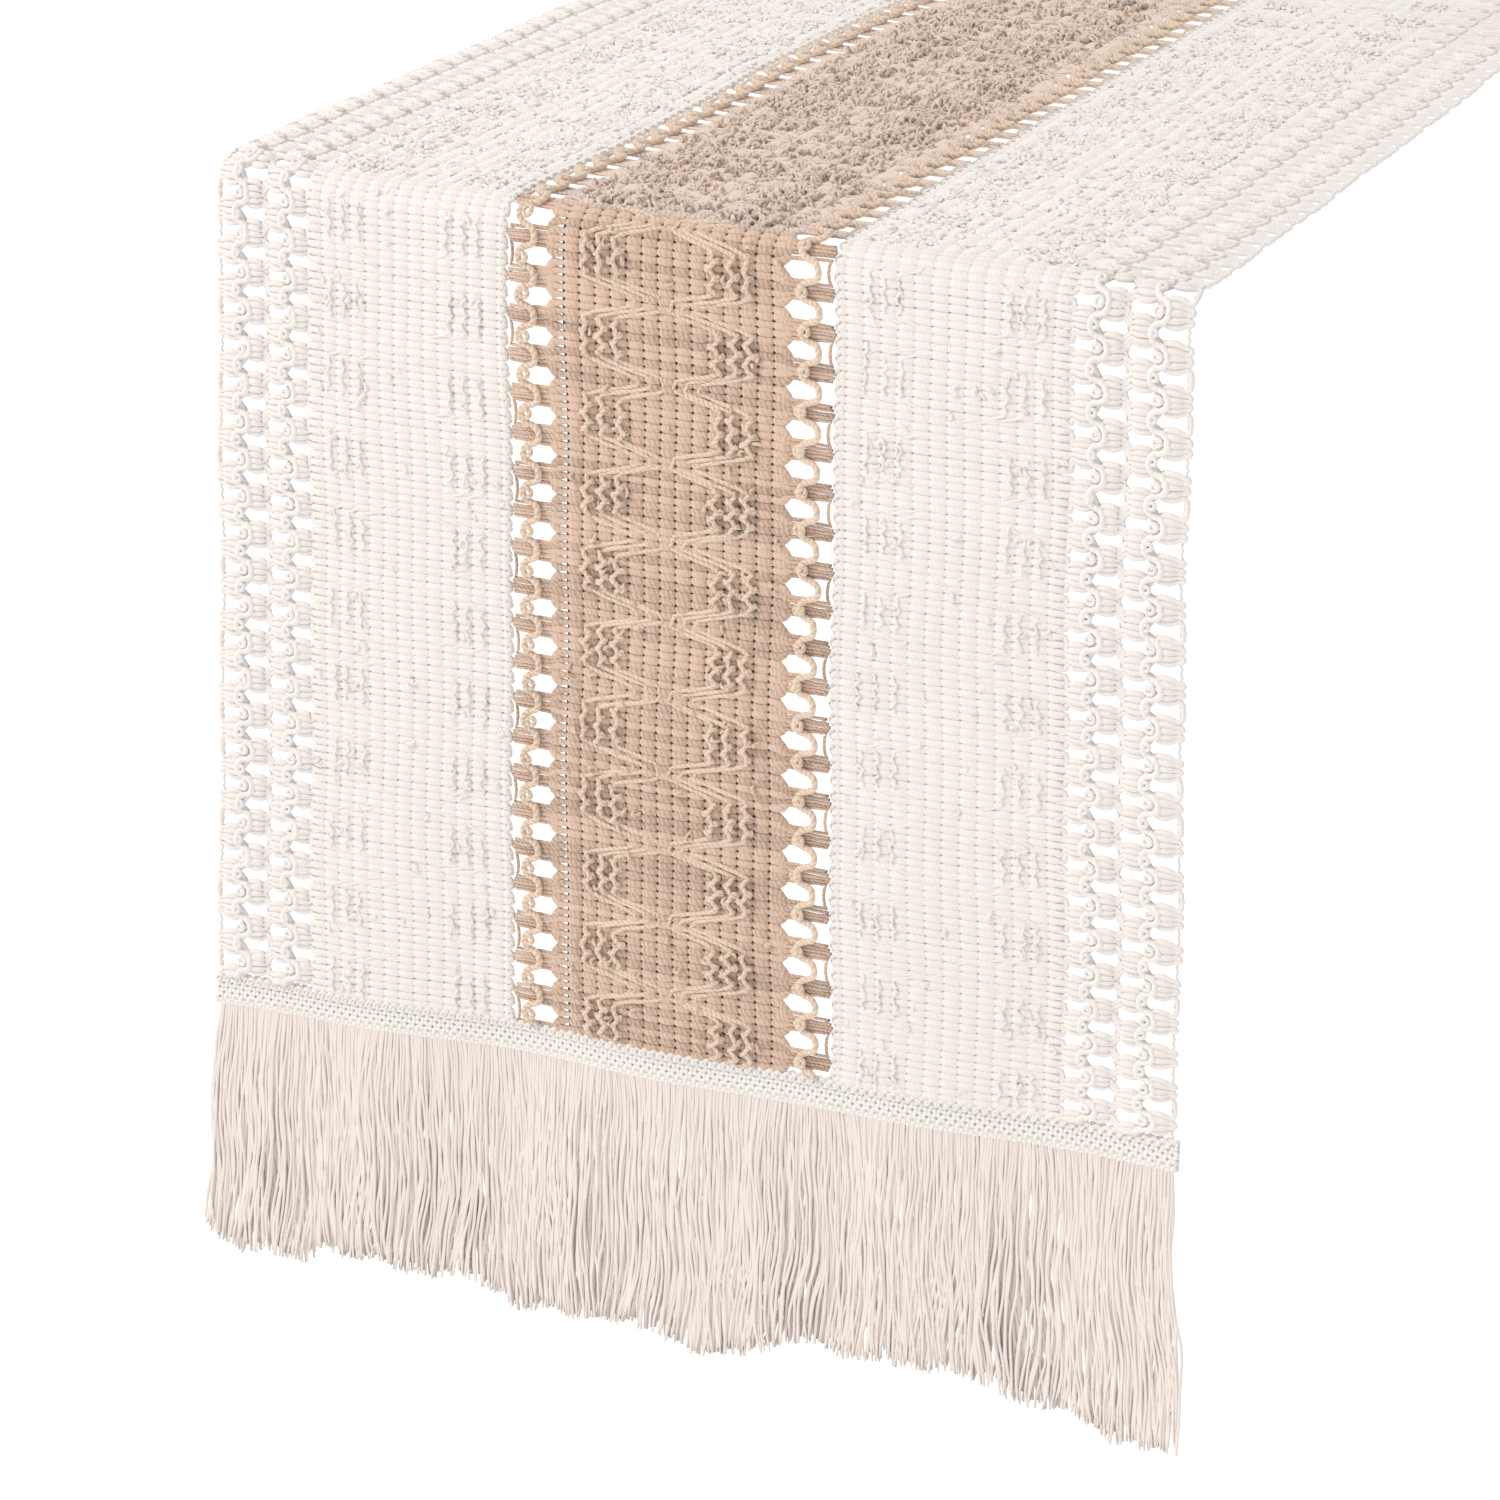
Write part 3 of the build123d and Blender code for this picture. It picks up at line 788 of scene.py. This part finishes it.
for zone, (v0, v1, detail) in ZONES.items():
    for ribbon, side in (("left_cream_ribbon", -1), ("centre_tan_ribbon", 0), ("right_cream_ribbon", 1)):
        wefts, warps, deep = Yarns(), Yarns(), Yarns()
        if side == 0:
            tan_wefts(wefts, v0, v1, detail)
            # the tan wale threads take a near-black colour that shows as painted shade in the gaps between
            # the wefts
            wale_threads(deep, WALES_TAN, v0, v1, -0.7)
            relief_yarns(warps, 0.0, v0, v1, detail, 0.72, 1.2, 0.56)
            curls(warps, 0.0, TAN_CURL_HALF, v0, v1, detail, 0.55, 2.3)
            material, relief_material, deep_material, slot = TAN, TAN_RELIEF, TAN_WALE_PAINTED_SHADE, "tan_yarn"
            # on the top the tan takes its copy with painted sheen and painted shade
            if zone.endswith("field"):
                material = relief_material = TAN_TOP_PAINTED_SHEEN_AND_SHADE
        else:
            cream_wefts(wefts, side, v0, v1, detail)
            wale_threads(deep, side * (WIDTH_HALF - WALES_CREAM[1:]), v0, v1, -0.62)
            edge_chains(wefts, side * (WIDTH_HALF - CHAINS), v0, v1)
            relief_yarns(warps, side * CREAM_GROUND, v0, v1, detail, 0.5, 0.5, 0.42)
            curls(warps, side * CREAM_GROUND, CREAM_CURL_HALF, v0, v1, detail, 0.75, 0.45)
            material, relief_material, deep_material, slot = CREAM, CREAM, CREAM_DEEP, "cream_yarn"
            # on the top the cream takes its copy painted lighter: painted light
            if zone.endswith("field"):
                material = relief_material = CREAM_TOP_PAINTED_LIGHT
        ground = wefts.build(f"{zone}_{ribbon}_wefts", material)
        relief = warps.build(f"{zone}_{ribbon}_raised_yarns", relief_material)
        chain = deep.build(f"{zone}_{ribbon}_wale_threads", deep_material)
        for piece in (ground, relief, chain):
            fit_to_body(piece, zone)
            stands_for(zone, ribbon, True)
    for name, side, e, column in CREAM_CORDS:
        cord = Yarns()
        cream_cord(cord, side, e, column, v0, v1, detail)
        obj = cord.build(f"{zone}_{name}", CREAM_CORD)
        fit_to_body(obj, zone)
        stands_for(zone, name, False)
    for name, side in (("tan_left_cord", -1), ("tan_right_cord", 1)):
        cord = Yarns()
        tan_cord(cord, side, v0, v1, detail)
        obj = cord.build(f"{zone}_{name}", TAN_RELIEF)
        fit_to_body(obj, zone)
        stands_for(zone, name, False)
    for name, side in (("left_seam_thread", -1), ("right_seam_thread", 1)):
        seam = Yarns()
        seam_thread(seam, side, v0, v1)
        obj = seam.build(f"{zone}_{name}", SEAM)
        fit_to_body(obj, zone)
        stands_for(zone, name, False)

for side, end in (("front", 1), ("back", -1)):
    tape = Yarns()
    header_tape(tape, end, 8 if end > 0 else 6)
    obj = tape.build(f"{side}_header_tape_braid", HEADER_WHITE)
    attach(obj, f"{side}_drop")
    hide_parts(f"{side}_header_tape")
    stitches = Yarns()
    header_stitching(stitches, end)
    obj = stitches.build(f"{side}_header_stitches", HEADER_WHITE)
    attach(obj, f"{side}_drop")
    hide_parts(f"{side}_header_stitching")
    strands = Yarns()
    fringe(strands, end, FRINGE_STRANDS, 11 if end > 0 else 12)
    obj = strands.build(f"{side}_fringe_strands", FRINGE)
    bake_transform(obj)
    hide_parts(f"{side}_fringe")


# ---------------------------------------------------------------- floor, light and camera
def floor():
    """A plain pale floor well below the fringes."""
    size, depth = 90.0, -0.75
    mesh = bpy.data.meshes.new("floor")
    corners = [(x * size, y * size, depth) for x, y in ((-1, -1), (1, -1), (1, 1), (-1, 1))]
    mesh.from_pydata(corners, [], [(0, 1, 2, 3)])
    m = bpy.data.materials.new("pale_floor")
    m.use_nodes = True
    nodes, links = m.node_tree.nodes, m.node_tree.links
    bsdf = nodes["Principled BSDF"]
    bsdf.inputs["Roughness"].default_value = 0.9
    bsdf.inputs["Emission Color"].default_value = (1, 1, 1, 1)
    bsdf.inputs["Emission Strength"].default_value = 0.32
    noise = nodes.new("ShaderNodeTexNoise")
    noise.inputs["Scale"].default_value = 3.0
    ramp = nodes.new("ShaderNodeValToRGB")
    ramp.color_ramp.elements[0].color = (0.95, 0.95, 0.95, 1)
    ramp.color_ramp.elements[1].color = (0.97, 0.97, 0.97, 1)
    links.new(noise.outputs["Fac"], ramp.inputs["Fac"])
    links.new(ramp.outputs["Color"], bsdf.inputs["Base Color"])
    mesh.materials.append(m)
    obj = bpy.data.objects.new("floor", mesh)
    bpy.context.scene.collection.objects.link(obj)


def area_light(name, place, target, size, power, colour):
    """A square soft light that points at target."""
    data = bpy.data.lights.new(name, "AREA")
    data.shape = "SQUARE"
    data.size = size
    data.energy = power
    data.color = colour
    obj = bpy.data.objects.new(name, data)
    obj.location = place
    obj.rotation_mode = "QUATERNION"
    obj.rotation_quaternion = (Vector(place) - Vector(target)).to_track_quat("Z", "Y")
    bpy.context.scene.collection.objects.link(obj)


def studio():
    """Soft light from all round, one key light, and plain colour handling."""
    world = bpy.data.worlds.new("studio")
    bpy.context.scene.world = world
    world.use_nodes = True
    background = world.node_tree.nodes["Background"]
    background.inputs["Color"].default_value = (0.98, 0.99, 1.0, 1)
    background.inputs["Strength"].default_value = 0.76
    # the studio lights the runner softly and is seen as plain white
    nodes, links = world.node_tree.nodes, world.node_tree.links
    white = nodes.new("ShaderNodeBackground")
    white.inputs["Color"].default_value = (1, 1, 1, 1)
    rays = nodes.new("ShaderNodeLightPath")
    mix = nodes.new("ShaderNodeMixShader")
    links.new(rays.outputs["Is Camera Ray"], mix.inputs["Fac"])
    links.new(background.outputs[0], mix.inputs[1])
    links.new(white.outputs[0], mix.inputs[2])
    links.new(mix.outputs[0], nodes["World Output"].inputs["Surface"])
    area_light("key", (-1.5, -1.85, 2.0), (0, -0.7, -0.1), 0.5, 37, (1.0, 0.94, 0.88))
    bpy.context.scene.view_settings.view_transform = "Standard"
    bpy.context.scene.view_settings.look = "None"


def camera():
    """The camera that was fitted to the photograph's fold line, edges and hem."""
    azimuth, elevation, roll = (math.radians(a) for a in (23.59, 20.87, 1.16))
    data = bpy.data.cameras.new("camera")
    data.sensor_width = 36.0
    data.lens = 126.97
    data.clip_start, data.clip_end = 0.05, 60.0
    ahead = Vector((-math.sin(azimuth) * math.cos(elevation), math.cos(azimuth) * math.cos(elevation),
                    -math.sin(elevation)))
    right = Vector((math.cos(azimuth), math.sin(azimuth), 0))
    up = right.cross(ahead)
    x = right * math.cos(roll) + up * math.sin(roll)
    y = up * math.cos(roll) - right * math.sin(roll)
    obj = bpy.data.objects.new("camera", data)
    place = Vector((0.6026, -2.1209, 0.3984))
    obj.matrix_world = Matrix.Translation(place) @ Matrix((x, y, -ahead)).transposed().to_4x4()
    bpy.context.scene.collection.objects.link(obj)
    bpy.context.scene.camera = obj


floor()
studio()
camera()
